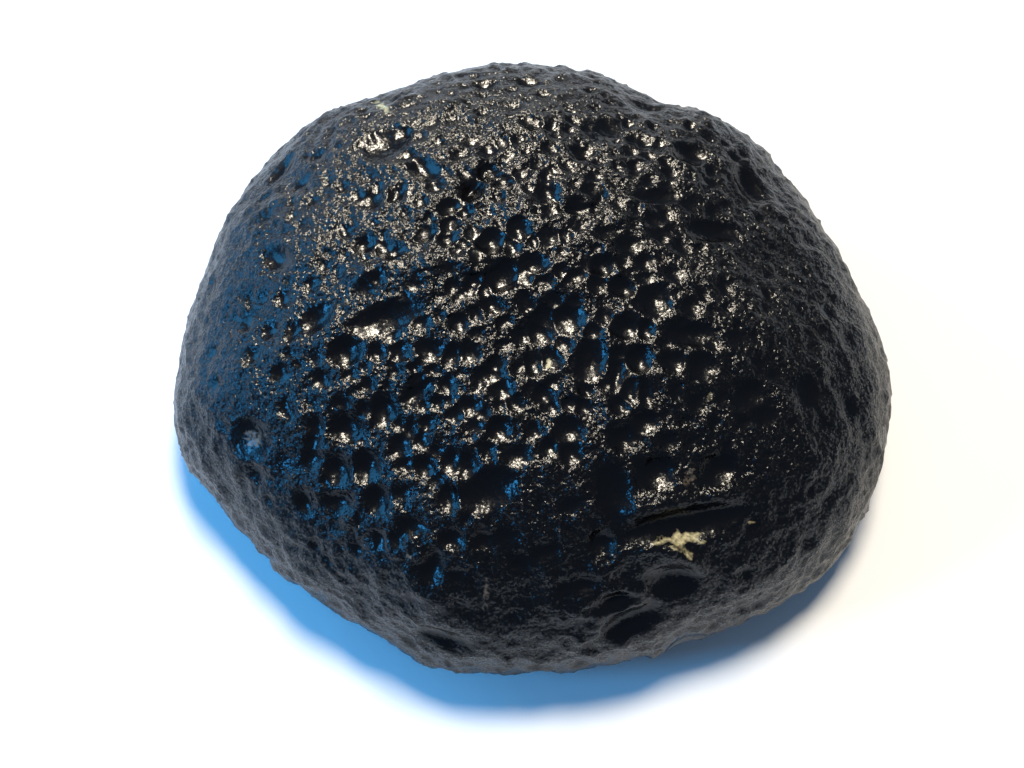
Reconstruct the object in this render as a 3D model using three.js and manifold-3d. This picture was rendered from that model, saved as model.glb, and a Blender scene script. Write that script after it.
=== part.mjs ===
// A splash-form tektite: one flattened lump of black natural glass, covered with round pits and short
// gouges, lying on its flat underside. Millimetres, +Z up. The origin is the middle of the flat.
import * as THREE from "three";
import { mergeVertices } from "three/addons/utils/BufferGeometryUtils.js";
import Module from "manifold-3d";

// ---- Driving dimensions, in mm and degrees ----

const GIRDLE = 6.2; // height of the widest level above the flat
const CROWN = 19.2; // rise of the domed top above the girdle
const KEEL = 6.8; // drop of the shallow underside below the girdle, before the flat takes its tip off
const FULLNESS = 2.15; // exponent of the upright section: 2 is an ellipse, more is fuller
// Radius of the plan outline at every 15 degrees, anticlockwise from +X.
const PLAN = [
  34.9, 33.1, 31.8, 31.8, 29.7, 30.6, 31.3, 30.9, 31.5, 33.6, 33.4, 34.0,
  34.7, 35.7, 33.7, 32.6, 32.0, 32.7, 31.8, 32.0, 33.1, 34.9, 36.4, 35.8,
];
const BOX_SHIFT = [-0.2, 0.4]; // brings the middle of the finished stone's box over the origin

// The pits of the upper side are plotted on a chart: a plane through the middle of the girdle that
// leans back from level. Its points are carried to the skin along lines from a pole far above it.
const CHART_LEAN = 20; // the chart's +Y edge is raised by this angle
const CHART_ORIGIN = [0, -1.1]; // from the middle of the girdle
const POLE_DISTANCE = 180;
const POLE_OFFSET = [-1.9, -1.6]; // where the pole stands over the chart

const SKIN_DETAIL = 12; // cuts in each edge of the icosahedron that is blown up into the skin
const FINE_PIT = 2.5; // a pit longer than this each way from its middle gets the finer cutter
const PIT_LIFT = 0.3; // a cutter's middle stands this fraction of its own height above the skin
const RIM_PITS = 12; // shallow pits spaced around the girdle
const UNDER_PITS = 10; // pits spread over the underside
const SEED = 7;

// Broad swells (+) and dishes (-) of the skin: chart u, chart v, radius, height.
const SWELLS = [
  [-15.5, 9.6, 2.8, 0.5],
  [-11.0, 10.2, 2.8, 0.5],
  [-6.8, 11.4, 2.4, 0.4],
  [11.0, -13.9, 2.0, 0.4],
  [15.0, -13.3, 2.0, 0.5],
  [19.0, -12.6, 1.8, 0.4],
  [12.5, -19.0, 2.6, 0.5],
  [3.0, -20.5, 3.0, 0.4],
  [24.5, 10.5, 5.0, -0.7],
  [-24.0, 19.0, 4.5, -0.5],
  [0.5, 4.0, 4.5, -0.5],
  [-14.5, 22.5, 3.6, -0.6],
  [26.5, -8.0, 4.5, 0.5],
  [-26.0, -1.0, 5.0, 0.4],
  [17.0, 25.0, 4.0, 0.5],
  [-11.5, -22.0, 4.0, 0.4],
];

// Pits of the upper side: chart u, chart v, half length, half width, turn of the length from +u, depth.
const BACK_PITS = [
  [-14.7, 22.5, 2.6, 2.3, 0, 0.7],
  [-13.4, 17.6, 1.3, 0.8, 60, 0.7],
  [-10.7, 20.0, 2.2, 1.2, -52, 1.0],
  [-7.6, 16.1, 1.6, 1.1, -20, 0.9],
  [-6.0, 17.8, 1.3, 1.1, 50, 0.9],
  [-4.7, 28.4, 1.5, 1.1, 0, 0.8],
  [-0.3, 28.7, 1.5, 1.0, -10, 0.8],
  [5.2, 21.7, 1.4, 1.1, 20, 0.9],
  [7.7, 23.8, 1.8, 1.6, 60, 0.7],
  [11.3, 26.2, 2.0, 1.2, -5, 0.7],
  [-4.0, 12.7, 1.5, 1.4, 0, 1.1],
];
const LEFT_PITS = [
  [-25.0, 19.8, 2.2, 1.0, 48, 0.6],
  [-25.5, 11.0, 2.0, 1.2, -40, 0.9],
  [-21.7, 5.0, 1.9, 1.3, 30, 1.0],
  [-18.6, 1.7, 1.5, 1.4, 0, 1.1],
  [-28.1, -7.0, 2.1, 2.0, 0, 0.8],
  [-18.4, -5.9, 1.5, 1.4, 0, 1.1],
  [-14.8, -4.2, 1.2, 1.4, 0, 0.9],
  [-19.3, -10.2, 1.4, 1.5, 0, 1.1],
  [-16.2, -10.0, 1.3, 1.6, 0, 1.1],
  [-19.3, -13.4, 1.6, 1.1, 0, 1.0],
  [-15.4, -13.2, 1.3, 1.4, 0, 1.0],
];
const MIDDLE_PITS = [
  [-14.6, 5.0, 3.2, 1.5, 15, 1.0],
  [-10.1, 1.8, 1.4, 1.2, -20, 0.8],
  [-11.3, -2.4, 1.6, 0.8, 35, 0.8],
  [-2.8, 9.2, 1.8, 1.4, 35, 1.1],
  [0.2, 10.5, 1.4, 1.1, 0, 0.9],
  [3.7, 5.0, 1.6, 1.4, 20, 0.9],
  [6.0, 0.9, 2.1, 1.4, 75, 1.0],
  [8.6, -0.5, 1.9, 0.9, 90, 0.8],
  [-3.2, -6.1, 1.2, 1.1, 0, 0.9],
  [-4.3, -12.2, 2.7, 1.9, 25, 1.2],
  [3.8, -7.2, 1.9, 1.4, 70, 0.9],
  [9.1, -6.9, 1.4, 1.3, 0, 1.0],
];
const RIGHT_PITS = [
  [16.1, 21.5, 1.8, 1.5, 0, 1.1],
  [21.9, 18.3, 2.2, 1.5, -55, 1.1],
  [12.9, 17.3, 2.5, 1.0, 10, 0.8],
  [18.2, 13.8, 2.8, 1.3, 8, 0.9],
  [9.8, 12.4, 1.4, 1.1, 20, 0.8],
  [12.4, 6.9, 1.6, 1.7, 0, 1.1],
  [9.6, 4.1, 1.4, 1.2, 0, 1.0],
  [10.8, 0.9, 1.2, 1.3, 0, 1.0],
  [16.1, 3.4, 2.6, 1.2, 0, 0.9],
  [17.2, 0.2, 1.5, 1.4, 0, 0.8],
  [21.9, -2.6, 1.8, 1.4, 15, 0.9],
  [27.5, -2.5, 1.6, 1.8, 0, 0.6],
];
const FRONT_PITS = [
  [12.4, -10.5, 1.9, 1.5, 15, 1.2],
  [18.7, -10.2, 1.8, 1.4, 30, 1.0],
  [8.4, -12.6, 2.7, 1.5, -75, 0.8],
  [15.9, -15.5, 5.5, 1.6, 9, 1.2],
  [14.1, -21.3, 2.6, 1.8, -12, 1.2],
  [10.1, -25.4, 2.9, 1.6, 28, 1.1],
  [-7.9, -17.0, 1.2, 1.1, 30, 0.8],
  [-9.9, -19.9, 1.8, 1.0, 75, 0.9],
  [-11.9, -15.9, 1.5, 1.0, 0, 0.8],
  [-8.7, -27.2, 2.8, 1.3, -8, 0.8],
];

// ---- The skin before pitting ----

// Steady pseudo-random numbers from 0 to 1.
function randomSource(seed) {
  let state = seed;
  return () => {
    state = (state * 16807) % 2147483647;
    return state / 2147483647;
  };
}

// Radius of the plan outline at an azimuth in radians: a smooth closed curve through PLAN.
function planRadius(azimuth) {
  const turns = azimuth / (2 * Math.PI) + 1;
  const place = (turns % 1) * PLAN.length;
  const first = Math.floor(place);
  const part = place - first;
  const at = (step) => PLAN[(first + step + PLAN.length) % PLAN.length];
  const rise = (at(1) - at(-1)) / 2;
  const nextRise = (at(2) - at(0)) / 2;
  const bend = 3 * (at(1) - at(0)) - 2 * rise - nextRise;
  const twist = 2 * (at(0) - at(1)) + rise + nextRise;
  return at(0) + rise * part + bend * part ** 2 + twist * part ** 3;
}

// Distance from the middle of the girdle to the smooth lump's surface, in a unit direction.
function lumpRadius(direction) {
  const { x, y, z } = direction;
  const across = Math.hypot(x, y) / planRadius(Math.atan2(y, x));
  const upright = Math.abs(z) / (z > 0 ? CROWN : KEEL);
  return (across ** FULLNESS + upright ** FULLNESS) ** (-1 / FULLNESS);
}

// Low waves all over the lump, in mm.
function waves({ x, y, z }) {
  const long = Math.sin(0.21 * x + 1.0) * Math.sin(0.26 * y + 0.24 * z + 2.1);
  const short = Math.sin(0.47 * x - 0.31 * y + 0.5) * Math.sin(0.43 * y + 0.39 * z);
  return 0.28 * long + 0.16 * short;
}

const swellMiddles = [];

function skinRadius(direction) {
  const radius = lumpRadius(direction);
  const point = direction.clone().multiplyScalar(radius);
  let height = waves(point);
  for (const { middle, reach, rise } of swellMiddles)
    height += rise * Math.exp(-point.distanceToSquared(middle) / reach ** 2);
  return radius + height;
}

// How far a point is outside the skin, along its own direction.
function gap(point) {
  return point.length() - skinRadius(point.clone().normalize());
}

const lean = THREE.MathUtils.degToRad(CHART_LEAN);
const chartRight = new THREE.Vector3(1, 0, 0);
const chartUp = new THREE.Vector3(0, Math.cos(lean), Math.sin(lean));
const chartOut = new THREE.Vector3(0, -Math.sin(lean), Math.cos(lean));

function onChart(u, v, out) {
  return new THREE.Vector3()
    .addScaledVector(chartRight, u + CHART_ORIGIN[0])
    .addScaledVector(chartUp, v + CHART_ORIGIN[1])
    .addScaledVector(chartOut, out);
}

// The skin point that a chart point is carried to: the first one on the line from the pole.
function skinUnder(u, v) {
  const pole = onChart(POLE_OFFSET[0], POLE_OFFSET[1], POLE_DISTANCE);
  const target = onChart(u, v, 0);
  const along = (part) => pole.clone().lerp(target, part);
  let outside = 0.8;
  while (gap(along(outside + 0.004)) > 0 && outside < 1.06) outside += 0.004;
  let inside = outside + 0.004;
  for (let step = 0; step < 12; step++) {
    const middle = (outside + inside) / 2;
    if (gap(along(middle)) > 0) outside = middle;
    else inside = middle;
  }
  const direction = along(inside).normalize();
  return direction.multiplyScalar(skinRadius(direction));
}

function skinNormal(point) {
  const step = 0.3;
  const slope = (axis) => {
    const shift = new THREE.Vector3().setComponent(axis, step);
    return gap(point.clone().add(shift)) - gap(point.clone().sub(shift));
  };
  return new THREE.Vector3(slope(0), slope(1), slope(2)).normalize();
}

for (const [u, v, reach, rise] of SWELLS)
  swellMiddles.push({ middle: skinUnder(u, v), reach, rise });

// ---- Solids ----

const wasm = await Module();
wasm.setup();

function solidOf(geometry) {
  const bare = geometry.clone();
  bare.deleteAttribute("normal");
  bare.deleteAttribute("uv");
  const merged = mergeVertices(bare, 1e-4);
  return new wasm.Manifold(
    new wasm.Mesh({
      numProp: 3,
      vertProperties: merged.getAttribute("position").array,
      triVerts: new Uint32Array(merged.index.array),
    }),
  );
}

function geometryOf(solid) {
  const { vertProperties, triVerts } = solid.getMesh();
  const geometry = new THREE.BufferGeometry();
  geometry.setAttribute("position", new THREE.BufferAttribute(vertProperties, 3));
  geometry.setIndex(new THREE.BufferAttribute(triVerts, 1));
  geometry.computeVertexNormals();
  return geometry;
}

// The unpitted stone: a ball of small facets, each corner moved out to the skin.
function lumpSolid() {
  const ball = new THREE.IcosahedronGeometry(1, SKIN_DETAIL);
  const corners = ball.getAttribute("position");
  const corner = new THREE.Vector3();
  for (let i = 0; i < corners.count; i++) {
    corner.fromBufferAttribute(corners, i).normalize();
    corner.multiplyScalar(skinRadius(corner));
    corners.setXYZ(i, corner.x, corner.y, corner.z);
  }
  return solidOf(ball);
}

// The ellipsoid that cuts a pit of the given mouth and depth into the skin at a point.
function pitCutter({ point, halfLength, halfWidth, turn, depth }) {
  const normal = skinNormal(point);
  const spread = 1 / Math.sqrt(1 - PIT_LIFT ** 2);
  const height = depth / (1 - PIT_LIFT);
  const length = chartRight.clone().projectOnPlane(normal).normalize();
  length.applyAxisAngle(normal, THREE.MathUtils.degToRad(turn));
  const width = normal.clone().cross(length);
  const middle = point.clone().addScaledVector(normal, height * PIT_LIFT);
  const ball = new THREE.IcosahedronGeometry(1, halfLength > FINE_PIT ? 2 : 1);
  ball.scale(halfLength * spread, halfWidth * spread, height);
  ball.applyMatrix4(new THREE.Matrix4().makeBasis(length, width, normal).setPosition(middle));
  return solidOf(ball);
}

function chartPits() {
  const rows = [BACK_PITS, LEFT_PITS, MIDDLE_PITS, RIGHT_PITS, FRONT_PITS].flat();
  return rows.map(([u, v, halfLength, halfWidth, turn, depth]) => ({
    point: skinUnder(u, v), halfLength, halfWidth, turn, depth,
  }));
}

function pitAt(azimuth, rise, size, depth, turn) {
  const level = Math.cos(rise);
  const direction = new THREE.Vector3(
    Math.cos(azimuth) * level, Math.sin(azimuth) * level, Math.sin(rise),
  );
  const point = direction.multiplyScalar(skinRadius(direction));
  return { point, halfLength: size, halfWidth: size * 0.75, turn, depth };
}

// Shallow pits that scallop the girdle.
function rimPits(random) {
  return Array.from({ length: RIM_PITS }, (_, i) => {
    const azimuth = ((i + 0.5 * random()) / RIM_PITS) * 2 * Math.PI;
    const rise = 0.3 * (random() - 0.5);
    return pitAt(azimuth, rise, 1.5 + 1.1 * random(), 0.4 + 0.3 * random(), 60 * random());
  });
}

// Pits all over the underside, clear of the flat, on an even spiral.
function underPits(random) {
  const goldenAngle = Math.PI * (3 - Math.sqrt(5));
  return Array.from({ length: UNDER_PITS }, (_, i) => {
    const rise = -0.08 - 0.28 * ((i + 0.5) / UNDER_PITS);
    return pitAt(i * goldenAngle, rise, 1.3 + 1.2 * random(), 0.6 + 0.5 * random(), 180 * random());
  });
}

function floorCutter() {
  const block = new THREE.BoxGeometry(100, 100, 40);
  block.translate(0, 0, -GIRDLE - 20);
  return solidOf(block);
}

function tektite() {
  const random = randomSource(SEED);
  let stone = lumpSolid();
  for (const pit of [...chartPits(), ...rimPits(random), ...underPits(random)])
    stone = stone.subtract(pitCutter(pit));
  stone = stone.subtract(floorCutter());
  const geometry = geometryOf(stone);
  geometry.translate(BOX_SHIFT[0], BOX_SHIFT[1], GIRDLE);
  const glass = new THREE.MeshStandardMaterial({ color: 0x0b0b0d, roughness: 0.2, metalness: 0 });
  const mesh = new THREE.Mesh(geometry, glass);
  mesh.name = "tektite";
  return mesh;
}

const part = new THREE.Group();
part.add(tektite());

export default part;
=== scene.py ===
"""A splash-form tektite: one lump of black natural glass, pitted all over, resting on a white sheet.

Lengths are in millimetres until a mesh, lamp or camera is made, and are turned to metres there.
The stone is worked out around the middle of its girdle, its widest level, and then stood on the floor.
"""

import math

import bpy
import numpy as np
from mathutils import Matrix, Vector


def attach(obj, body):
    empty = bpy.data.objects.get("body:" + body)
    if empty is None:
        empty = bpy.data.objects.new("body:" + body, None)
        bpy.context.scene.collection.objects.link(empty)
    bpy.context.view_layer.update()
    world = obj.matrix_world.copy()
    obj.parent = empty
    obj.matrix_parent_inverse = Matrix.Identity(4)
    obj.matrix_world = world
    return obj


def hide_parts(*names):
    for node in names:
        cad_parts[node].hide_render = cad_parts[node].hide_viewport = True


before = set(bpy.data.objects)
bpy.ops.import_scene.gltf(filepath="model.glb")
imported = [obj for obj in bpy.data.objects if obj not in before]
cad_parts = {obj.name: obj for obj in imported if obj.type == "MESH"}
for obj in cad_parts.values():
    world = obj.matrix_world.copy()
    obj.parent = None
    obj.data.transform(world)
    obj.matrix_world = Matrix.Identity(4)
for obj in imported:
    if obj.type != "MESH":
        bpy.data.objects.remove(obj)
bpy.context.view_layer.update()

# ---- The stone's driving dimensions, in mm and degrees ----

MM = 0.001
GIRDLE = 6.2  # height of the widest level above the floor
CROWN = 19.2  # rise of the domed top above the girdle
KEEL = 6.8  # drop of the shallow underside below the girdle, before the flat takes its tip off
FULLNESS = 2.15  # exponent of the upright section: 2 is an ellipse, more is fuller
BOX_SHIFT = (-0.2, 0.4)  # where the girdle's middle stands over the origin
# Radius of the plan outline at every 15 degrees, anticlockwise from +X.
PLAN = np.array([
    34.9, 33.1, 31.8, 31.8, 29.7, 30.6, 31.3, 30.9, 31.5, 33.6, 33.4, 34.0,
    34.7, 35.7, 33.7, 32.6, 32.0, 32.7, 31.8, 32.0, 33.1, 34.9, 36.4, 35.8,
])

# The upper side is plotted on a chart: a plane through the girdle's middle, leaning back from level.
# Chart points are carried to the skin along lines from a pole, and the camera stands at the pole.
CHART_LEAN = 20
CHART_ORIGIN = (0.0, -1.1)
POLE_DISTANCE = 180
POLE_OFFSET = (-1.9, -1.6)
CHART_WIDTH = 102.4  # the width of the chart that the camera's frame takes in

PIT_DEEPNESS = 0.8  # share of the depths in the lists below that is left once the rims are worn
PIT_BREADTH = 1.15  # how much wider the pits in the lists are at the skin than the half sizes given
RIM_WEAR = 0.15  # how far a pit's rim is rounded, as a share of its depth
PIT_REACH = 1.7  # a pit changes nothing farther from its middle than this many half lengths
FACE_CELLS = 128  # quads along each edge of the six lattice faces that wrap the stone
CROWD = 0.32  # how far the lattice is drawn up toward the top, where the stone is seen most
SEED = 11

# Pits drawn at random: tries, lowest and highest level on the unit ball, least spacing, least half length,
# what is added to the half length at most, and depth as a share of the half width.
RANDOM_PITS = {
    "wide": (900, -0.93, 0.02, 5.2, 1.3, 1.1, 0.5),  # on the underside and up to the girdle
    "small": (5000, -0.97, 0.12, 2.3, 0.6, 0.5, 0.6),  # between the wide ones
    "cups": (11000, -0.05, 1.0, 1.65, 0.62, 0.8, 0.55),  # all over the upper side
}
LONGNESS = 1.5  # exponent that makes long random pits rarer than short ones
ROUNDNESS = (0.65, 1.0)  # least and greatest width of a random pit, as a share of its length
DEPTH_SPREAD = (0.7, 1.2)  # least and greatest depth of a random pit, as a share of the depth above
CUP_OVAL = (1, 9, 21, 20)  # where the cups are full-sized: the oval's chart u and v, and its half axes
CUP_LEAST = 0.45  # size of a cup far outside that oval, as a share of the drawn size
CUP_GAIN = 0.65  # what is added to that share in the oval's middle

# Two noises that make the pits uneven, and four that roughen the skin: grain, height and salts of each.
WARP = ((1.3, 0.14, (1, 2, 3)), (0.6, 0.03, (4, 5, 6)))
GRAIN = ((3.0, 0.2, 34), (1.4, 0.08, 31), (0.8, 0.06, 32), (0.45, 0.04, 33))
POCK_SPACING = 1.3  # one pock in each cube of this size
POCK_SALT = 24
POCK_WARP = 0.5  # share of the pits' unevenness that the pocks get
POCK_RADIUS = 0.75  # the skin rises above its level between the pocks, farther from their middles than this
POCK_DEPTH = (0.06, 0.14)  # depth of the shallowest pock, and what is added at most
POCK_PATCHES = (6.0, 0.8, 30)  # the noise that varies their depth in patches: grain, height and salt
POCK_FAINTEST = 0.25  # share of its depth that a pock keeps in the faintest patches
HOLLOW_DEPTH = 0.3  # a pit this deep counts as a hollow in full
HOLLOW_SMOOTHING = 0.75  # share of the pocks and grain that a hollow has lost
FLANK_START = 0.92  # the skin counts as flank where its normal's upward part is below this,
FLANK_SPAN = 0.3  # and counts in full when it is lower by this
FADE_START = 0.25  # marks of the chart fade where the cosine of the skin's turn from the pole is below this

# Broad swells (+) and dishes (-) of the skin: chart u, chart v, radius, height.
SWELLS = [
    (-15.5, 9.6, 2.8, 0.5), (-11.0, 10.2, 2.8, 0.5), (-6.8, 11.4, 2.4, 0.4), (11.0, -13.9, 2.0, 0.4),
    (15.0, -13.3, 2.0, 0.5), (19.0, -12.6, 1.8, 0.4), (12.5, -19.0, 2.6, 0.5), (3.0, -20.5, 3.0, 0.4),
    (24.5, 10.5, 5.0, -0.7), (-24.0, 19.0, 4.5, -0.5), (0.5, 4.0, 4.5, -0.5), (-14.5, 22.5, 3.6, -0.6),
    (26.5, -8.0, 4.5, 0.5), (-26.0, -1.0, 5.0, 0.4), (17.0, 25.0, 4.0, 0.5), (-11.5, -22.0, 4.0, 0.4),
    (-11.0, -1.5, 7.5, -0.7), (2.5, 0.5, 7.0, -0.3), (-12.0, -14.5, 5.0, 0.5),
]

# Pits of the upper side: chart u, chart v, half length, half width, turn of the length from +u, depth.
BACK_PITS = [
    (-14.7, 22.5, 2.6, 2.3, 0, 0.7), (-16.0, 16.9, 1.2, 1.1, 0, 0.7), (-13.4, 17.6, 1.3, 0.8, 60, 0.7),
    (-10.7, 20.0, 2.2, 1.2, -52, 1.0), (-8.1, 16.2, 1.1, 1.0, 0, 0.8), (-6.7, 15.7, 0.9, 0.8, 0, 0.7),
    (-6.0, 17.8, 1.3, 1.1, 50, 0.9), (-4.2, 19.6, 1.1, 1.1, 0, 0.8), (-4.2, 21.9, 1.0, 1.1, 0, 0.7),
    (-2.8, 18.8, 1.0, 0.9, 0, 0.7), (-4.7, 28.4, 1.5, 1.1, 0, 0.8), (-0.3, 28.7, 1.5, 1.0, -10, 0.8),
    (-0.3, 24.7, 0.9, 0.8, 0, 0.5), (2.0, 24.1, 0.8, 0.8, 0, 0.6), (3.7, 23.9, 0.8, 0.7, 0, 0.5),
    (5.2, 21.7, 1.4, 1.1, 20, 0.9), (-0.4, 21.8, 0.6, 0.5, 0, 0.4), (0.7, 20.5, 0.8, 0.7, 0, 0.5),
    (2.1, 19.8, 0.9, 0.9, 0, 0.5), (5.7, 24.0, 0.9, 0.8, 0, 0.5), (5.8, 27.8, 1.0, 0.7, 0, 0.5),
    (7.6, 26.6, 0.7, 0.6, 0, 0.4), (3.9, 25.8, 0.8, 0.6, 0, 0.4), (7.7, 23.8, 1.8, 1.6, 60, 0.7),
    (9.6, 24.4, 0.9, 1.0, 0, 0.6), (11.3, 26.2, 2.0, 1.2, -5, 0.7), (11.2, 22.6, 1.1, 1.2, 0, 0.7),
    (-10.5, 13.5, 1.1, 0.9, 30, 0.6), (-4.0, 12.7, 1.5, 1.4, 0, 1.1), (-6.8, 12.5, 0.9, 0.8, 0, 0.6),
    (-16.8, 12.3, 1.2, 1.0, 20, 0.8), (-14.7, 12.1, 1.1, 0.9, -50, 0.7), (-18.6, 13.8, 0.8, 0.8, 0, 0.6),
    (-11.9, 26.4, 0.8, 0.8, 0, 0.3), (-20.1, 22.6, 0.8, 0.8, 0, 0.3), (-21.2, 21.3, 1.2, 1.0, 0, 0.4),
]
LEFT_PITS = [
    (-25.0, 19.8, 2.2, 1.0, 48, 0.6), (-23.0, 18.4, 1.1, 1.0, 0, 0.5), (-26.6, 17.1, 1.2, 0.7, 30, 0.4),
    (-26.6, 15.1, 1.1, 0.7, 20, 0.3), (-25.5, 11.0, 2.0, 1.2, -40, 0.9), (-28.2, 7.1, 0.7, 0.8, 0, 0.5),
    (-26.9, 7.0, 0.8, 0.8, 0, 0.5), (-29.5, 5.0, 0.7, 0.7, 0, 0.3), (-28.5, 4.6, 0.8, 1.1, 0, 0.5),
    (-26.1, 3.8, 1.2, 1.1, 0, 0.7), (-24.8, 7.0, 0.8, 1.0, 0, 0.5), (-21.7, 5.0, 1.9, 1.3, 30, 1.0),
    (-23.9, 3.7, 1.3, 0.8, 45, 0.6), (-22.0, 8.3, 0.9, 0.8, 0, 0.5), (-27.9, 1.4, 1.0, 0.9, 0, 0.6),
    (-31.8, 1.6, 0.8, 0.8, 0, 0.5), (-31.6, -1.5, 0.7, 0.9, 0, 0.5), (-24.2, 1.4, 0.8, 0.6, 0, 0.5),
    (-25.1, -0.4, 1.1, 0.9, 0, 0.7), (-23.3, 0.4, 0.7, 0.6, 0, 0.4), (-21.6, 1.1, 0.8, 1.0, 0, 0.4),
    (-18.6, 1.7, 1.5, 1.4, 0, 1.1), (-21.0, -1.1, 0.9, 0.9, 0, 0.6), (-18.1, -0.7, 0.7, 0.7, 0, 0.5),
    (-24.7, -3.9, 0.6, 1.0, 0, 0.5), (-28.1, -7.0, 2.1, 2.0, 0, 0.8), (-27.5, -10.6, 0.9, 0.9, 0, 0.5),
    (-32.0, 8.3, 0.7, 1.3, -10, 0.4), (-21.5, -5.9, 0.8, 1.2, 0, 0.6), (-21.9, -7.5, 0.8, 0.8, 0, 0.5),
    (-18.8, -3.5, 0.9, 0.8, 0, 0.5), (-18.4, -5.9, 1.5, 1.4, 0, 1.1), (-14.8, -4.2, 1.2, 1.4, 0, 0.9),
    (-13.2, -5.6, 0.7, 0.8, 0, 0.5), (-22.0, -9.2, 1.2, 1.0, 20, 0.6), (-24.6, -9.4, 0.9, 0.9, 0, 0.3),
    (-22.6, -13.5, 1.1, 1.2, 0, 0.8), (-21.6, -17.7, 0.6, 0.7, 0, 0.4), (-24.1, -17.7, 0.9, 0.6, -20, 0.2),
    (-19.3, -10.2, 1.4, 1.5, 0, 1.1), (-16.5, -10.0, 1.3, 1.6, 0, 1.1), (-19.3, -13.4, 1.6, 1.1, 0, 1.0),
    (-15.4, -13.2, 1.3, 1.4, 0, 1.0),
]
MIDDLE_PITS = [
    (-15.3, 1.6, 0.9, 1.0, 0, 0.6), (-13.2, 1.6, 1.0, 1.0, 0, 0.7), (-13.1, -7.9, 1.1, 1.1, 0, 0.7),
    (-11.1, -7.2, 0.9, 0.9, 0, 0.6), (-12.7, -9.6, 1.0, 0.8, 0, 0.6), (-10.7, -9.9, 1.2, 1.0, -20, 0.8),
    (-13.1, -12.6, 1.2, 0.8, 0, 0.5), (-9.5, -11.2, 0.8, 0.8, 0, 0.5), (-14.6, 5.0, 3.2, 1.5, 15, 1.0),
    (-10.1, 1.8, 1.4, 1.2, -20, 0.8), (-7.9, 1.3, 1.3, 1.0, 50, 0.7), (-11.0, 4.6, 1.0, 0.8, 0, 0.5),
    (-7.1, 4.6, 1.0, 0.9, 0, 0.6), (-7.8, 8.0, 0.9, 0.9, 0, 0.5), (-6.1, 8.0, 0.9, 0.8, 0, 0.6),
    (-4.6, 8.0, 0.8, 1.0, 0, 0.6), (-11.7, 8.3, 1.2, 0.7, 10, 0.4), (-16.6, 8.0, 1.2, 1.0, 0, 0.5),
    (-13.6, -0.3, 0.7, 0.6, 0, 0.5), (-11.6, 0.1, 0.7, 0.6, 0, 0.5), (-9.8, -0.2, 0.8, 0.6, 0, 0.5),
    (-11.3, -2.4, 1.6, 0.8, 35, 0.8), (-12.2, -3.5, 0.6, 0.6, 0, 0.4), (-10.8, -3.6, 0.8, 0.7, 0, 0.5),
    (-8.4, -3.2, 0.8, 0.7, 0, 0.4), (-6.1, -3.9, 1.2, 0.9, 0, 0.7), (-5.6, -5.8, 1.0, 0.8, 0, 0.5),
    (-12.1, -6.2, 0.8, 1.2, -10, 0.6), (-10.4, -5.6, 0.8, 0.9, 0, 0.6), (-2.8, 9.2, 1.8, 1.4, 35, 1.1),
    (0.2, 10.5, 1.4, 1.1, 0, 0.9), (3.0, 9.8, 0.8, 0.7, 0, 0.5), (7.1, 10.3, 1.3, 1.1, 10, 0.9),
    (9.2, 10.8, 0.8, 0.7, 0, 0.4), (3.7, 5.0, 1.6, 1.4, 20, 0.9), (1.4, 4.8, 1.4, 1.5, 0, 0.7),
    (0.3, 0.5, 1.0, 1.3, 0, 0.7), (6.0, 0.9, 2.1, 1.4, 75, 1.0), (5.5, -2.2, 0.8, 0.8, 0, 0.6),
    (5.2, -3.8, 0.9, 0.8, 0, 0.6), (8.6, -0.5, 1.9, 0.9, 90, 0.8), (8.9, -3.6, 1.0, 1.0, 0, 0.8),
    (1.2, -2.6, 1.2, 1.0, 0, 0.7), (-3.0, -2.0, 1.2, 1.1, 0, 0.8), (-4.0, -0.6, 1.3, 0.9, 0, 0.7),
    (-3.1, -3.5, 0.7, 0.7, 0, 0.5), (-1.8, -3.6, 0.7, 0.7, 0, 0.5), (-3.2, -6.1, 1.2, 1.1, 0, 0.9),
    (-8.0, -9.3, 1.2, 1.3, 0, 0.7), (-6.4, -9.8, 1.2, 1.2, 60, 0.8), (-4.4, -8.2, 0.8, 0.9, 0, 0.6),
    (-8.3, -12.9, 1.0, 1.3, 0, 0.9), (-4.3, -12.2, 2.7, 1.9, 25, 1.2), (-1.4, -8.7, 1.4, 1.0, 10, 0.7),
    (3.8, -6.3, 1.4, 1.4, 0, 0.8), (4.0, -8.4, 1.2, 1.2, 0, 0.8), (1.8, -7.9, 1.0, 1.0, 0, 0.7),
    (9.1, -6.9, 1.4, 1.3, 0, 1.0), (11.3, -5.3, 1.3, 1.1, 0, 0.9), (9.9, -2.3, 0.9, 1.4, 0, 0.8),
    (11.6, -2.5, 0.8, 1.4, 0, 0.8),
]
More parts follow.
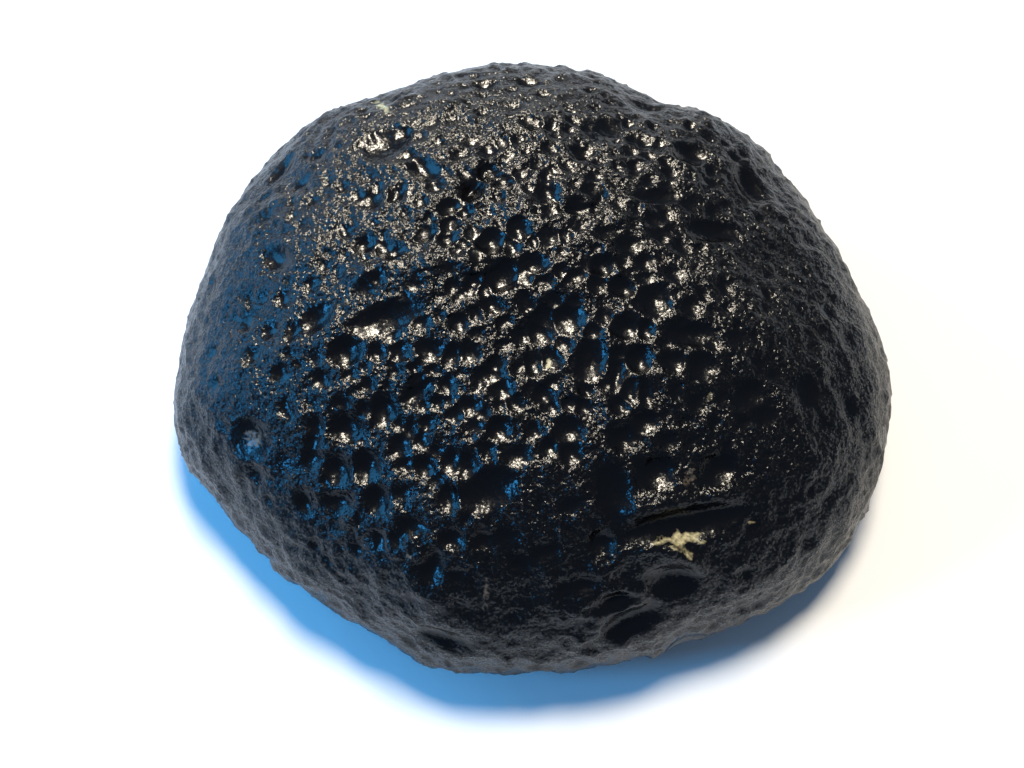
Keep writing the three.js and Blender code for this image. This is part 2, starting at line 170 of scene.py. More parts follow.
RIGHT_PITS = [
    (16.1, 21.5, 1.8, 1.5, 0, 1.1), (20.4, 21.1, 1.0, 0.9, 0, 0.6), (17.8, 19.0, 1.0, 1.2, 0, 0.5),
    (21.9, 18.3, 2.2, 1.5, -55, 1.1), (13.9, 19.6, 0.9, 0.8, 0, 0.6), (12.9, 17.3, 2.5, 1.0, 10, 0.8),
    (13.4, 15.5, 1.0, 1.1, 0, 0.6), (15.7, 16.4, 1.1, 1.1, 0, 0.4), (18.2, 13.8, 2.8, 1.3, 8, 0.9),
    (12.9, 13.6, 1.4, 1.1, 0, 0.4), (7.7, 13.6, 1.3, 0.8, 10, 0.4), (9.8, 12.4, 1.4, 1.1, 20, 0.8),
    (1.9, 15.8, 0.9, 0.9, 0, 0.5), (1.9, 13.2, 1.2, 1.0, 20, 0.6), (9.2, 8.1, 1.2, 1.1, 0, 0.9),
    (12.4, 6.9, 1.6, 1.7, 0, 1.1), (9.6, 4.1, 1.4, 1.2, 0, 1.0), (11.5, 3.9, 0.9, 1.0, 0, 0.8),
    (10.8, 0.9, 1.2, 1.3, 0, 1.0), (16.1, 3.4, 2.6, 1.2, 0, 0.9), (14.4, 0.7, 1.3, 1.1, 0, 0.7),
    (17.2, 0.2, 1.5, 1.4, 0, 0.8), (21.9, -2.6, 1.8, 1.4, 15, 0.9), (23.4, -4.7, 1.4, 1.2, 0, 0.6),
    (24.4, -0.7, 0.9, 0.7, 30, 0.5), (21.3, -5.5, 0.9, 0.8, 0, 0.5), (27.5, -2.5, 1.6, 1.8, 0, 0.6),
    (31.6, 3.0, 0.9, 1.3, 0, 0.4), (29.7, 5.6, 0.9, 0.9, 0, 0.4), (31.0, 10.6, 1.4, 0.7, -60, 0.5),
    (31.8, -4.0, 1.1, 1.3, 0, 0.5), (27.6, 12.8, 1.0, 1.0, 0, 0.4), (29.2, -5.6, 1.0, 0.8, 0, 0.4),
    (22.8, 0.5, 1.1, 0.8, 0, 0.4), (20.8, 3.2, 1.2, 1.0, 0, 0.4),
]
FRONT_PITS = [
    (12.4, -10.5, 1.9, 1.5, 15, 1.2), (18.7, -10.2, 1.8, 1.4, 30, 1.0), (8.4, -12.6, 2.7, 1.5, -75, 0.8),
    (15.9, -15.5, 5.5, 1.6, 9, 1.2), (7.0, -17.4, 1.2, 1.2, 0, 0.8), (14.1, -21.3, 2.6, 1.8, -12, 1.2),
    (8.6, -23.2, 1.6, 0.9, 20, 0.8), (10.1, -25.4, 2.9, 1.6, 28, 1.1), (5.5, -21.6, 1.4, 1.0, 10, 0.7),
    (22.1, -15.7, 0.9, 1.0, 0, 0.5), (21.5, -20.5, 0.8, 0.8, 0, 0.5), (1.5, -18.3, 1.6, 1.0, 10, 0.6),
    (4.1, -13.7, 1.3, 0.9, 10, 0.4), (-7.9, -17.0, 1.2, 1.1, 30, 0.8), (-9.9, -19.9, 1.8, 1.0, 75, 0.9),
    (-13.4, -17.0, 0.9, 1.1, 0, 0.7), (-15.2, -17.2, 0.9, 1.1, 0, 0.7), (-17.4, -18.0, 0.8, 0.8, 0, 0.5),
    (-11.9, -15.9, 1.5, 1.0, 0, 0.8), (-4.7, -17.3, 1.1, 1.0, 0, 0.7), (-2.5, -17.0, 1.4, 1.2, 0, 0.5),
    (-8.7, -27.2, 2.8, 1.3, -8, 0.8), (-1.0, -19.4, 1.2, 1.0, 0, 0.5), (-7.5, -20.8, 0.9, 0.9, 0, 0.5),
    (3.3, -22.0, 1.0, 0.9, 0, 0.4), (-12.0, -23.4, 1.0, 0.8, 0, 0.4), (-16.9, -23.6, 0.7, 0.7, 0, 0.4),
    (29.0, -20.1, 1.1, 0.8, 30, 0.5), (30.3, -17.2, 0.7, 0.9, 0, 0.4),
]

# Thin lips (+) and creases (-) in the skin: half width, height, then chart points along each one.
CREASES = [
    (0.35, 0.30, [(-8.5, 25.6), (-8.1, 26.3), (-7.3, 26.5), (-6.5, 26.0), (-6.0, 25.2), (-5.4, 24.3)]),
    (0.35, 0.25, [(-17.1, 24.6), (-16.7, 23.8), (-16.1, 23.0)]),
    (0.40, 0.30, [(-17.1, 21.6), (-16.5, 20.3), (-15.5, 20.0), (-13.6, 20.0), (-12.3, 20.5)]),
    (0.45, -0.40, [(2.7, 16.8), (3.4, 16.1), (4.9, 16.0), (6.7, 16.3), (7.2, 17.3)]),
    (0.45, -0.45, [(-3.1, 20.5), (-4.7, 20.3), (-5.3, 19.0), (-6.6, 17.8)]),
    (0.90, 0.45, [(9.7, -14.5), (12.9, -13.7), (16.9, -13.2), (20.6, -12.4)]),
    (0.90, 0.45, [(6.9, -20.7), (9.1, -18.5), (12.4, -17.7), (16.8, -19.6)]),
    (0.60, 0.35, [(3.4, -25.2), (7.4, -22.2), (10.9, -22.2)]),
    (0.60, 0.35, [(4.9, -27.2), (7.9, -24.2), (10.9, -23.7)]),
    (0.90, 0.35, [(-18.1, 9.3), (-13.1, 10.3), (-8.1, 10.6), (-3.1, 11.3)]),
]

# Earth dried onto the glass: chart u, chart v, half length, half width, turn, how thickly it lies (0 to 1).
OCHRE_EARTH = [
    (15.2, -17.2, 2.3, 0.75, 4, 0.8), (12.9, -17.5, 1.1, 0.35, 0, 0.8), (16.4, -16.9, 1.0, 0.5, 12, 0.7),
    (15.4, -18.4, 1.1, 0.45, -22, 0.7), (1.7, 0.6, 0.8, 0.3, 90, 0.9), (-14.9, 26.2, 1.2, 0.45, -35, 0.9),
    (22.2, -15.5, 0.4, 0.3, 0, 0.8), (17.9, -3.2, 1.5, 0.5, 80, 0.4),
]
PALE_EARTH = [
    (-4.5, -22.4, 2.7, 0.5, 80, 0.5), (15.9, -11.2, 1.5, 0.8, 80, 0.5), (-28.1, -7.2, 1.7, 1.5, 0, 0.5),
    (-6.7, 6.9, 0.7, 0.3, 0, 0.6), (13.2, 11.0, 0.6, 0.15, 80, 0.6), (15.6, 10.5, 0.7, 0.15, -45, 0.6),
    (-12.2, -18.8, 0.3, 0.3, 0, 0.8),
]
EARTH_FRAY = ((0.9, 0.3, 71), (0.35, 0.6, 72))  # noises that fray its edge: grain, height and salt of each
EARTH_EDGE = 0.5  # share of an oval's half size over which its earth thins out


# ---- Steady noise ----

# The lattices of the noise stand aslant of the stone's axes, so that their rows don't show.
SLANT = np.array(Matrix.Rotation(0.7, 3, (0.48, 0.6, 0.64)))

# Large odd numbers, which scramble the bits of what they multiply.
PLACE_FACTORS = np.array([73856093, 19349663, 83492791])
SALT_FACTOR = 49979693
BIT_FACTOR = 1274126177
NOISE_GAIN = 1.6  # brings the blend of eight slopes to about -1 to 1


def hashed(lattice, salt):
    """A number from 0 to 1 for each whole-number lattice point, from its three places scrambled as bits.
    Another salt gives other numbers."""
    mixed = lattice @ PLACE_FACTORS + salt * SALT_FACTOR
    for shift in (15, 12, 17):
        mixed = ((mixed ^ (mixed >> shift)) & 0x7FFFFFFF) * BIT_FACTOR
    return (mixed >> 20 & 0xFFFFF) / 0x100000


def noise(points, grain, salt):
    """Smooth noise of about -1 to 1: on a lattice of grain mm each corner has a hashed slope, and the
    heights that the eight slopes give are blended by a quintic step."""
    place = points @ SLANT / grain
    corner = np.floor(place).astype(np.int64)
    part = place - corner
    blend = part**3 * (part * (part * 6 - 15) + 10)
    total = np.zeros(len(points))
    for step in np.ndindex(2, 2, 2):
        weight = np.where(step, blend, 1 - blend).prod(axis=1)
        slopes = np.stack([hashed(corner + step, salt * 3 + axis) for axis in range(3)], axis=1) * 2 - 1
        total += weight * ((part - step) * slopes).sum(axis=1)
    return NOISE_GAIN * total


def scattered(points, grain, salt):
    """Distance in mm to the nearest spot and that spot's number, with one spot in each cube of grain mm."""
    place = points @ SLANT / grain
    corner = np.floor(place).astype(np.int64)
    nearest = np.full(len(points), np.inf)
    number = np.zeros(len(points))
    for step in np.ndindex(3, 3, 3):
        cube = corner + step - 1
        spot = cube + np.stack([hashed(cube, salt + axis) for axis in range(3)], axis=1)
        away = np.linalg.norm(place - spot, axis=1)
        closer = away < nearest
        nearest[closer] = away[closer]
        number[closer] = hashed(cube[closer], salt + 3)
    return nearest * grain, number


# ---- The skin before pitting ----


def unit(vectors):
    """Vectors shortened to length 1."""
    return vectors / np.linalg.norm(vectors, axis=-1, keepdims=True)


def plan_radius(azimuth):
    """Radius of the plan outline: a closed cubic through PLAN, parallel at each knot to the line that
    joins its two neighbours."""
    place = azimuth / math.tau % 1 * len(PLAN)
    knot = np.floor(place).astype(int)
    part = place - knot
    before, here, ahead, beyond = (PLAN[(knot + step) % len(PLAN)] for step in (-1, 0, 1, 2))
    rise = (ahead - before) / 2
    next_rise = (beyond - here) / 2
    bend = 3 * (ahead - here) - 2 * rise - next_rise
    twist = 2 * (here - ahead) + rise + next_rise
    return here + part * (rise + part * (bend + part * twist))


def lump_radius(directions):
    """Radius of the smooth lump, (across ^ F + upright ^ F) ^ (-1 / F), where F is FULLNESS and the two
    are a direction's parts as shares of the plan radius and of the height above or below the girdle."""
    x, y, z = directions.T
    across = np.hypot(x, y) / plan_radius(np.arctan2(y, x))
    upright = np.abs(z) / np.where(z > 0, CROWN, KEEL)
    return (across**FULLNESS + upright**FULLNESS) ** (-1 / FULLNESS)


def waves(points):
    """Low waves all over the lump in mm: a long and a short product of two sines. The factors of x, y and z
    are radians per mm: the long waves are 18 to 30 mm from crest to crest and the short ones 11."""
    x, y, z = points.T
    long = np.sin(0.21 * x + 1.0) * np.sin(0.26 * y + 0.24 * z + 2.1)
    short = np.sin(0.47 * x - 0.31 * y + 0.5) * np.sin(0.43 * y + 0.39 * z)
    return 0.28 * long + 0.16 * short


# Middle, reach and rise of each swell. It is filled from SWELLS below, once their middles are on the skin.
swells = []


def skin_radius(directions):
    """Radius of the skin: the lump, its waves, and rise * exp(-(distance / reach)^2) for each swell."""
    radius = lump_radius(directions)
    points = directions * radius[:, None]
    height = waves(points)
    for middle, reach, rise in swells:
        height += rise * np.exp(-((points - middle) ** 2).sum(axis=1) / reach**2)
    return radius + height


def gap(points):
    """How far points are outside the skin, along their own directions."""
    return np.linalg.norm(points, axis=1) - skin_radius(unit(points))


NORMAL_REACH = 0.3  # how far to each side of a point, in mm, the gap is measured for the normal there


def skin_normal(points):
    """Outward normals: the direction in which the gap grows fastest, by its differences along the axes."""
    steps = NORMAL_REACH * np.eye(3)
    return unit(np.stack([gap(points + step) - gap(points - step) for step in steps], axis=1))


LEAN = math.radians(CHART_LEAN)
CHART_RIGHT = np.array([1.0, 0.0, 0.0])
CHART_UP = np.array([0.0, math.cos(LEAN), math.sin(LEAN)])
CHART_OUT = np.array([0.0, -math.sin(LEAN), math.cos(LEAN)])


def on_chart(u, v, out=0.0):
    """Chart places as points around the girdle's middle: u to the right, v up the slope, and out of the
    chart's plane."""
    sideways = np.multiply.outer(np.asarray(u) + CHART_ORIGIN[0], CHART_RIGHT)
    return sideways + np.multiply.outer(np.asarray(v) + CHART_ORIGIN[1], CHART_UP) + out * CHART_OUT


POLE = on_chart(*POLE_OFFSET, POLE_DISTANCE)

# The search for the skin along a line from the pole, in shares of the way to the chart.
SEARCH_START = 0.8
SEARCH_STEP = 0.004
SEARCH_STEPS = 65
SEARCH_HALVINGS = 12


def skin_under(u, v):
    """The skin points that chart places are carried to: the first ones met on the lines from the pole."""
    target = on_chart(u, v)

    def along(part):
        return POLE + part[:, None] * (target - POLE)

    outside = np.full(len(target), SEARCH_START)
    for _ in range(SEARCH_STEPS):
        outside += SEARCH_STEP * (gap(along(outside + SEARCH_STEP)) > 0)
    inside = outside + SEARCH_STEP
    for _ in range(SEARCH_HALVINGS):
        middle = (outside + inside) / 2
        clear = gap(along(middle)) > 0
        outside = np.where(clear, middle, outside)
        inside = np.where(clear, inside, middle)
    directions = unit(along(inside))
    return directions * skin_radius(directions)[:, None]


def chart_place(points):
    """Chart u and v of points: where the lines from the pole through them meet the chart."""
    reach = points - POLE
    reach = reach * (-POLE_DISTANCE / (reach @ CHART_OUT))[:, None]
    return reach @ CHART_RIGHT + POLE_OFFSET[0], reach @ CHART_UP + POLE_OFFSET[1]


SWELL_ROWS = np.array(SWELLS)
SWELL_MIDDLES = skin_under(SWELL_ROWS[:, 0], SWELL_ROWS[:, 1])
swells.extend(zip(SWELL_MIDDLES, SWELL_ROWS[:, 2], SWELL_ROWS[:, 3]))


# ---- The pits ----


def ball_lattice(cells):
    """Directions and quads of a gridded cube blown up to a ball: a grid place a of each face is turned to
    tan(a), so that the lines stand at equal angles, and the faces are welded along their edges."""
    line = np.arange(cells + 1)
    column, row = np.meshgrid(line, line, indexing="ij")
    keys = []
    quads = []
    for axis in range(3):
        for level in (0, cells):
            places = np.empty((cells + 1, cells + 1, 3), int)
            places[..., axis] = level
            places[..., axis - 2] = column
            places[..., axis - 1] = row
            index = np.arange(places[..., 0].size).reshape(column.shape) + len(keys) * column.size
            ring = [index[:-1, :-1], index[1:, :-1], index[1:, 1:], index[:-1, 1:]]
            quads.append(np.stack(ring if level else ring[::-1], axis=-1).reshape(-1, 4))
            keys.append(places.reshape(-1, 3))
    places, merged = np.unique(np.concatenate(keys), axis=0, return_inverse=True)
    directions = unit(np.tan((places / cells - 0.5) * math.pi / 2))
    return directions, merged.reshape(-1)[np.concatenate(quads)]


def crowd_upward(directions):
    """Directions drawn toward +Z by CROWD * (1 - z^2), which puts more of the lattice on the upper side.
    The small least value keeps the two on the Z axis from being divided by nothing."""
    z = directions[:, 2]
    lifted = z + CROWD * (1 - z**2)
    narrowed = np.sqrt((1 - lifted**2) / np.maximum(1 - z**2, 1e-12))
    return unit(np.column_stack([directions[:, :2] * narrowed[:, None], lifted]))


def spaced_spots(random, count, lowest, highest, spacing):
    """Skin points at random directions between two heights of the unit ball, none nearer than spacing."""
    heights = random.uniform(lowest, highest, count)
    azimuths = random.uniform(0, math.tau, count)
    level = np.sqrt(1 - heights**2)
    directions = np.column_stack([np.cos(azimuths) * level, np.sin(azimuths) * level, heights])
    spots = directions * skin_radius(directions)[:, None]
    kept = np.empty((0, 3))
    for spot in spots:
        if len(kept) == 0 or ((kept - spot) ** 2).sum(axis=1).min() > spacing**2:
            kept = np.vstack([kept, spot])
    return kept


def cup_share(spots):
    """Size of the cups as a share of the drawn size: largest in CUP_OVAL and less toward the edges."""
    u, v = chart_place(spots)
    middle_u, middle_v, half_u, half_v = CUP_OVAL
    inside = np.exp(-(((u - middle_u) / half_u) ** 4) - ((v - middle_v) / half_v) ** 4)
    return CUP_LEAST + CUP_GAIN * inside


def pit_rows(random):
    """Every pit as rows of centre, half length, half width, turn in degrees and depth."""
    chart = np.array(BACK_PITS + LEFT_PITS + MIDDLE_PITS + RIGHT_PITS + FRONT_PITS)
    chart[:, 2:4] *= PIT_BREADTH
    rows = [np.column_stack([skin_under(chart[:, 0], chart[:, 1]), chart[:, 2:]])]
    places = {kind: spaced_spots(random, *draw[:4]) for kind, draw in RANDOM_PITS.items()}
    for kind, spots in places.items():
        least, spread, steepness = RANDOM_PITS[kind][4:]
        length = least + spread * random.random(len(spots)) ** LONGNESS
        if kind == "cups":
            length *= cup_share(spots)
        width = length * random.uniform(*ROUNDNESS, len(spots))
        turn = random.uniform(0, 180, len(spots))
        depth = steepness * width * random.uniform(*DEPTH_SPREAD, len(spots))
        rows.append(np.column_stack([spots, length, width, turn, depth]))
    return np.concatenate(rows)


def pit_depth(points, rows):
    """Depth of the skin's pits in mm: the deepest of depth * b over the pits, with b = 1 - s^2 and s 1 on
    the pit's oval rim. The corner at the rim is worn round: b becomes (b + sqrt(b^2 + RIM_WEAR^2)) / 2."""
    centres = rows[:, :3]
    normals = skin_normal(centres)
    across = unit(CHART_RIGHT - normals * (normals @ CHART_RIGHT)[:, None])
    upward = np.cross(normals, across)
    turns = np.radians(rows[:, 5])[:, None]
    lengths = across * np.cos(turns) + upward * np.sin(turns)
    widths = np.cross(normals, lengths)
    total = np.zeros(len(points))
    for centre, length, width, row in zip(centres, lengths, widths, rows):
        reach = PIT_REACH * max(row[3], row[4])
        close = np.flatnonzero(((points - centre) ** 2).sum(axis=1) < reach**2)
        offset = points[close] - centre
        rim = (offset @ length / row[3]) ** 2 + (offset @ width / row[4]) ** 2
        bowl = 1 - rim
        bowl = row[6] * (bowl + np.sqrt(bowl**2 + RIM_WEAR**2)) / 2
        total[close] = np.maximum(total[close], bowl)
    return total


def near_line(u, v, line):
    """Distance of chart places from a line through chart points."""
    nearest = np.full(len(u), np.inf)
    for (u0, v0), (u1, v1) in zip(line, line[1:]):
        run = np.array([u1 - u0, v1 - v0])
        part = np.clip(((u - u0) * run[0] + (v - v0) * run[1]) / (run @ run), 0, 1)
        nearest = np.minimum(nearest, np.hypot(u - u0 - part * run[0], v - v0 - part * run[1]))
    return nearest


def earth_cover(u, v, facing, rows, points):
    """How thickly earth lies, 0 to 1: the most that any oval gives, with a coarse and a fine noise that
    fray the ovals' edges, and none where the skin turns away from the pole."""
    fray = sum(height * noise(points, grain, salt) for grain, height, salt in EARTH_FRAY)
    total = np.zeros(len(u))
    for u0, v0, length, width, turn, cover in rows:
        cosine, sine = math.cos(math.radians(turn)), math.sin(math.radians(turn))
        along = ((u - u0) * cosine + (v - v0) * sine) / length
        aside = ((v - v0) * cosine - (u - u0) * sine) / width
        share = np.clip((1 - np.hypot(along, aside) + fray) / EARTH_EDGE, 0, 1)
        total = np.maximum(total, cover * share * facing)
    return total


def warp_of(skin):
    """Small shifts of the skin points in mm, which make the pits that are worked out there uneven."""
    total = np.zeros(skin.shape)
    for grain, height, salts in WARP:
        total += np.stack([noise(skin, grain, salt) for salt in salts], axis=1) * height
    return total


def fine_depth(skin, warp):
    """Depth of the fine relief in mm: shallow round pocks, fainter in some patches, less the grain."""
    away, number = scattered(skin + POCK_WARP * warp, POCK_SPACING, POCK_SALT)
    shallowest, added = POCK_DEPTH
    pocks = (shallowest + added * number) * (1 - (away / POCK_RADIUS) ** 2)
    grain, height, salt = POCK_PATCHES
    patchy = np.clip(height + height * noise(skin, grain, salt), POCK_FAINTEST, 1)
    rough = sum(height * noise(skin, grain, salt) for grain, height, salt in GRAIN)
    return pocks * patchy - rough


def lip_height(u, v, facing):
    """Height of the lips and creases in mm: height * exp(-(distance / half width)^2) along each line."""
    total = np.zeros(len(u))
    for half_width, height, line in CREASES:
        total += height * facing * np.exp(-((near_line(u, v, line) / half_width) ** 2))
    return total


def make_stone():
    """The stone's one closed skin: lattice directions times the skin radius, moved in along the skin's
    normals by the pits and pocks and out by the grain and lips, and cut level where it meets the floor.
    What the glass has to know of each point is kept with the mesh as attributes."""
    random = np.random.default_rng(SEED)
    directions, quads = ball_lattice(FACE_CELLS)
    directions = crowd_upward(directions)
    skin = directions * skin_radius(directions)[:, None]
    normals = skin_normal(skin)

    warp = warp_of(skin)
    pits = PIT_DEEPNESS * pit_depth(skin + warp, pit_rows(random))
    hollow = np.clip(pits / HOLLOW_DEPTH, 0, 1)
    fine = fine_depth(skin, warp) * (1 - HOLLOW_SMOOTHING * hollow)

    # Marks of the chart are made where the skin faces the pole, and fade out where it turns away.
    u, v = chart_place(skin)
    facing = np.clip((unit(POLE - skin) * normals).sum(axis=1) / FADE_START, 0, 1)
    depth = pits + fine - lip_height(u, v, facing)
    points = skin - normals * depth[:, None]
    points[:, 2] = np.maximum(points[:, 2], -GIRDLE)

    mesh = bpy.data.meshes.new("tektite_skin")
    placed = (points + [*BOX_SHIFT, GIRDLE]) * MM
    mesh.from_pydata(placed, [], quads)
    mesh.shade_smooth()
    facts = {
        "hollow": hollow,
        "flank": np.clip((FLANK_START - normals[:, 2]) / FLANK_SPAN, 0, 1),
        "ochre": earth_cover(u, v, facing, OCHRE_EARTH, skin),
        "pale": earth_cover(u, v, facing, PALE_EARTH, skin),
    }
    for name, values in facts.items():
        mesh.attributes.new(name, "FLOAT", "POINT").data.foreach_set("value", values.astype(np.float32))
    stone = bpy.data.objects.new("tektite_stone", mesh)
    bpy.context.scene.collection.objects.link(stone)
    return stone


# ---- Materials ----

# Grain of the glass: cells to the millimetre, turned to cells to the metre. The facets of true etching are
# finer still. They are drawn nearly two pixels of the render wide, so that each can glitter on its own.
BUMPS = 2.5 / MM  # 0.4 mm across
DENTS = 1.4 / MM  # 0.7 mm across
FACETS = 6 / MM  # 0.17 mm across

BUMP_HEIGHT = 0.15 * MM  # what the bumps' noise of 0 to 1 stands for
DENT_HEIGHT = 2.5  # height of the dents, as a multiple of that of the bumps

# Values on the open top, on the flanks and in the hollows, which are the smoothest.
BUMP_STRENGTH = (1.0, 0.4, 0.18)
FACET_TILT = (1.0, 0.6, 0.2)
GLASS_ROUGHNESS = (0.3, 0.3, 0.22)

EARTH_ROUGHNESS = 0.55
EARTH_GAIN = 2.4  # where cover times grain times this
EARTH_LOSS = 0.35  # is less than this, no earth is left


def hex_colour(text):
    """An sRGB colour such as 0A0A0B as the linear RGBA that sockets take."""
    parts = [int(text[place : place + 2], 16) / 255 for place in (0, 2, 4)]
    return (*(part / 12.92 if part <= 0.04045 else ((part + 0.055) / 1.055) ** 2.4 for part in parts), 1.0)


def add(tree, kind, inputs=(), **settings):
    """Add a node to a tree: settings are its properties, inputs its sockets' values or what links in."""
    node = tree.nodes.new("ShaderNode" + kind)
    for name, value in settings.items():
        setattr(node, name, value)
    for name, value in dict(inputs).items():
        if isinstance(value, bpy.types.NodeSocket):
            tree.links.new(value, node.inputs[name])
        else:
            node.inputs[name].default_value = value
    return node


def new_material(name):
    """An empty node material and its tree."""
    material = bpy.data.materials.new(name)
    material.use_nodes = True
    material.node_tree.nodes.clear()
    return material, material.node_tree


def by_place(tree, values, flank, hollow):
    """A value that goes over from that of the open top to that of the flanks and that of the hollows."""
    top, side, pit = values
    open_skin = add(tree, "Mix", {"Factor": flank, "A": top, "B": side}).outputs["Result"]
    return add(tree, "Mix", {"Factor": hollow, "A": open_skin, "B": pit}).outputs["Result"]


def etched_normal(tree, place, fine, flank, hollow):
    """The normal of etched glass: bumps and dents, and on them facets that each have a slope of their own.
    A facet tilts with the square of its drawn slope, which leaves fewer of them steep."""
    dents = add(tree, "TexNoise", {"Vector": place, "Scale": DENTS, "Detail": 1.5, "Roughness": 0.5})
    heights = {0: dents.outputs["Fac"], 1: DENT_HEIGHT, 2: fine}
    height = add(tree, "Math", heights, operation="MULTIPLY_ADD").outputs[0]
    strength = by_place(tree, BUMP_STRENGTH, flank, hollow)
    bump = add(tree, "Bump", {"Height": height, "Strength": strength, "Distance": BUMP_HEIGHT})
    facets = add(tree, "TexVoronoi", {"Vector": place, "Scale": FACETS}, feature="F1")
    drawn = {0: facets.outputs["Color"], 1: (0.5, 0.5, 0.5)}
    slope = add(tree, "VectorMath", drawn, operation="SUBTRACT").outputs[0]
    size = add(tree, "VectorMath", {0: slope}, operation="LENGTH").outputs["Value"]
    steepness = by_place(tree, FACET_TILT, flank, hollow)
    steep = add(tree, "Math", {0: size, 1: steepness}, operation="MULTIPLY").outputs[0]
    tilt = add(tree, "VectorMath", {0: slope, "Scale": steep}, operation="SCALE").outputs[0]
    tilted = add(tree, "VectorMath", {0: bump.outputs["Normal"], 1: tilt}, operation="ADD").outputs[0]
    return add(tree, "VectorMath", {0: tilted}, operation="NORMALIZE").outputs[0]


def natural_black_glass():
    """Tektite glass: silica melted by an impact, chilled in flight and etched by acid soil since.
    To the eye: nearly black right through, with a wet gloss that the etched grain breaks into glitter,
    smooth and glossiest in the hollows, and matt where earth has dried onto it."""
    material, tree = new_material("natural black glass")
    place = add(tree, "TexCoord").outputs["Object"]
    hollow = add(tree, "Attribute", attribute_name="hollow").outputs["Fac"]
    flank = add(tree, "Attribute", attribute_name="flank").outputs["Fac"]
    grain = {"Vector": place, "Scale": BUMPS, "Detail": 1.0, "Roughness": 0.6}
    fine = add(tree, "TexNoise", grain).outputs["Fac"]
    shine = by_place(tree, GLASS_ROUGHNESS, flank, hollow)
    tone = hex_colour("08080A")
    for earth, colour in (("ochre", "D0C294"), ("pale", "8F8070")):
        # The grain breaks the earth up: its amount is gain * cover * grain - loss, held between 0 and 1.
        cover = add(tree, "Attribute", attribute_name=earth).outputs["Fac"]
        broken = add(tree, "Math", {0: cover, 1: fine}, operation="MULTIPLY").outputs[0]
        steps = {0: broken, 1: EARTH_GAIN, 2: -EARTH_LOSS}
        amount = add(tree, "Math", steps, operation="MULTIPLY_ADD", use_clamp=True).outputs[0]
        colours = {"Factor": amount, "A": tone, "B": hex_colour(colour)}
        tone = add(tree, "Mix", colours, data_type="RGBA").outputs["Result"]
        shine = add(tree, "Mix", {"Factor": amount, "A": shine, "B": EARTH_ROUGHNESS}).outputs["Result"]
    look = {
        "Base Color": tone,
        "Roughness": shine,
        "Normal": etched_normal(tree, place, fine, flank, hollow),
        "IOR": 1.5,
        "Specular IOR Level": 0.25,
    }
    shader = add(tree, "BsdfPrincipled", look)
    add(tree, "OutputMaterial", {"Surface": shader.outputs["BSDF"]})
    return material


def white_card():
    """Matt white card: pressed wood pulp with a fine tooth, which spreads light evenly without a gleam."""
    material, tree = new_material("matt white card")
    place = add(tree, "TexCoord").outputs["Object"]
    # The tooth is 1.1 mm from crest to crest, coarse for card, because a true one is too fine to be seen.
    tooth = add(tree, "TexNoise", {"Vector": place, "Scale": 0.9 / MM, "Detail": 1.0})
    bump = add(tree, "Bump", {"Height": tooth.outputs["Fac"], "Strength": 0.2, "Distance": 0.02 * MM})
    look = {"Base Color": hex_colour("F8F8F8"), "Roughness": 0.9, "Normal": bump.outputs["Normal"]}
    shader = add(tree, "BsdfPrincipled", look)
    add(tree, "OutputMaterial", {"Surface": shader.outputs["BSDF"]})
    return material


# ---- The setting: floor, lights and camera ----


def make_floor():
    """A square sheet of card far wider than the stone, just under the flat that the stone rests on."""
    half = 1.5  # metres
    level = -0.02 * MM
    corners = [(-half, -half, level), (half, -half, level), (half, half, level), (-half, half, level)]
    mesh = bpy.data.meshes.new("card_sheet")
    mesh.from_pydata(corners, [], [(0, 1, 2, 3)])
    mesh.materials.append(white_card())
    floor = bpy.data.objects.new("card_sheet", mesh)
    bpy.context.scene.collection.objects.link(floor)
    return floor


WARM_WHITE = "FFF3DE"
LAMP_DISTANCE = 0.3  # of each lamp but the overhead one, in metres
GLEAM_BEARING = 104  # of the two lamps that put the gleams on the glass


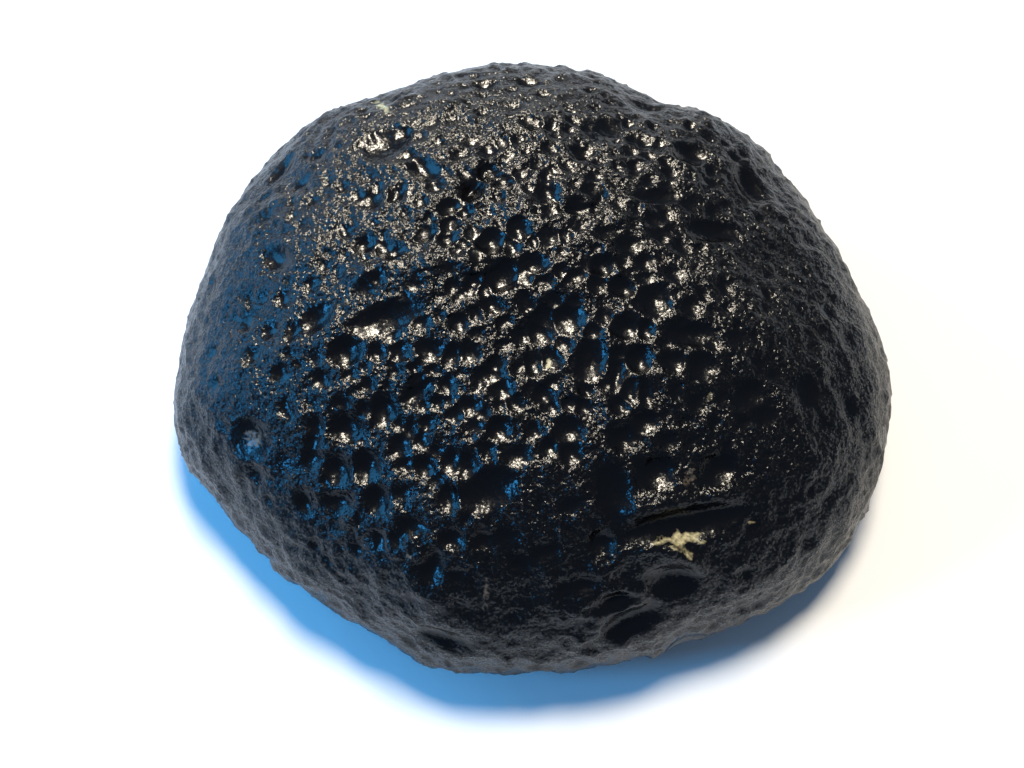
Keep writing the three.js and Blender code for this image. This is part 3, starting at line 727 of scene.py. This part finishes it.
def add_soft_light(name, bearing, elevation, distance, radius, radiance, colour):
    """A round soft light aimed at the stone, from a bearing anticlockwise from +X and an elevation in
    degrees, with distance and radius in metres. Its power is radiance * pi * its area, in watts."""
    data = bpy.data.lights.new(name, "AREA")
    data.shape = "DISK"
    data.size = 2 * radius
    data.energy = radiance * math.pi * math.pi * radius**2
    data.color = hex_colour(colour)[:3]
    toward = Vector((
        math.cos(math.radians(elevation)) * math.cos(math.radians(bearing)),
        math.cos(math.radians(elevation)) * math.sin(math.radians(bearing)),
        math.sin(math.radians(elevation)),
    ))
    light = bpy.data.objects.new(name, data)
    light.location = toward * distance + Vector((0, 0, GIRDLE * MM))
    light.rotation_euler = toward.to_track_quat("Z", "Y").to_euler()
    bpy.context.scene.collection.objects.link(light)
    return light


def add_camera():
    """The camera stands at the pole and looks straight down at the chart."""
    data = bpy.data.cameras.new("camera")
    data.sensor_fit = "HORIZONTAL"
    data.sensor_width = 36
    data.lens = data.sensor_width * POLE_DISTANCE / CHART_WIDTH
    data.clip_start = 0.01
    camera = bpy.data.objects.new("camera", data)
    turn = Matrix([CHART_RIGHT, CHART_UP, CHART_OUT]).transposed().to_4x4()
    stand = Vector((POLE + [*BOX_SHIFT, GIRDLE]) * MM)
    camera.matrix_world = Matrix.Translation(stand) @ turn
    bpy.context.scene.collection.objects.link(camera)
    bpy.context.scene.camera = camera


def dim_room():
    """The room beyond the lights: a dim pale blue from every side."""
    world = bpy.data.worlds.new("room")
    world.use_nodes = True
    world.node_tree.nodes.clear()
    air = add(world.node_tree, "Background", {"Color": hex_colour("A8D0FF"), "Strength": 0.24})
    add(world.node_tree, "OutputWorld", {"Surface": air.outputs[0]})
    bpy.context.scene.world = world


stone = make_stone()
stone.data.materials.append(natural_black_glass())
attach(stone, "root")
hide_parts("tektite")
make_floor()

# The overhead lamp lights the sheet. It isn't mirrored in the glass, whose top it would grey.
lamp = add_soft_light("lamp", 76, 75, distance=0.45, radius=0.06, radiance=67, colour=WARM_WHITE)
lamp.visible_glossy = False
# Two lamps behind the stone put the gleams on the glass. They are kept off matt surfaces, so that they
# throw no long shadow.
for name, elevation, radius, radiance in (("back lamp", 36, 0.033, 145), ("high lamp", 63, 0.032, 120)):
    lamp = add_soft_light(name, GLEAM_BEARING, elevation, LAMP_DISTANCE, radius, radiance, WARM_WHITE)
    lamp.visible_diffuse = False
# Blue light from the left fills the shadow and shines on the walls of the pits that face it.
add_soft_light("window", 158, 20, LAMP_DISTANCE, radius=0.1, radiance=7.0, colour="46B4FF")
add_soft_light("blue lamp", 196, 30, LAMP_DISTANCE, radius=0.04, radiance=32, colour="3EAEFF")
add_camera()
dim_room()
bpy.context.scene.view_settings.view_transform = "Standard"
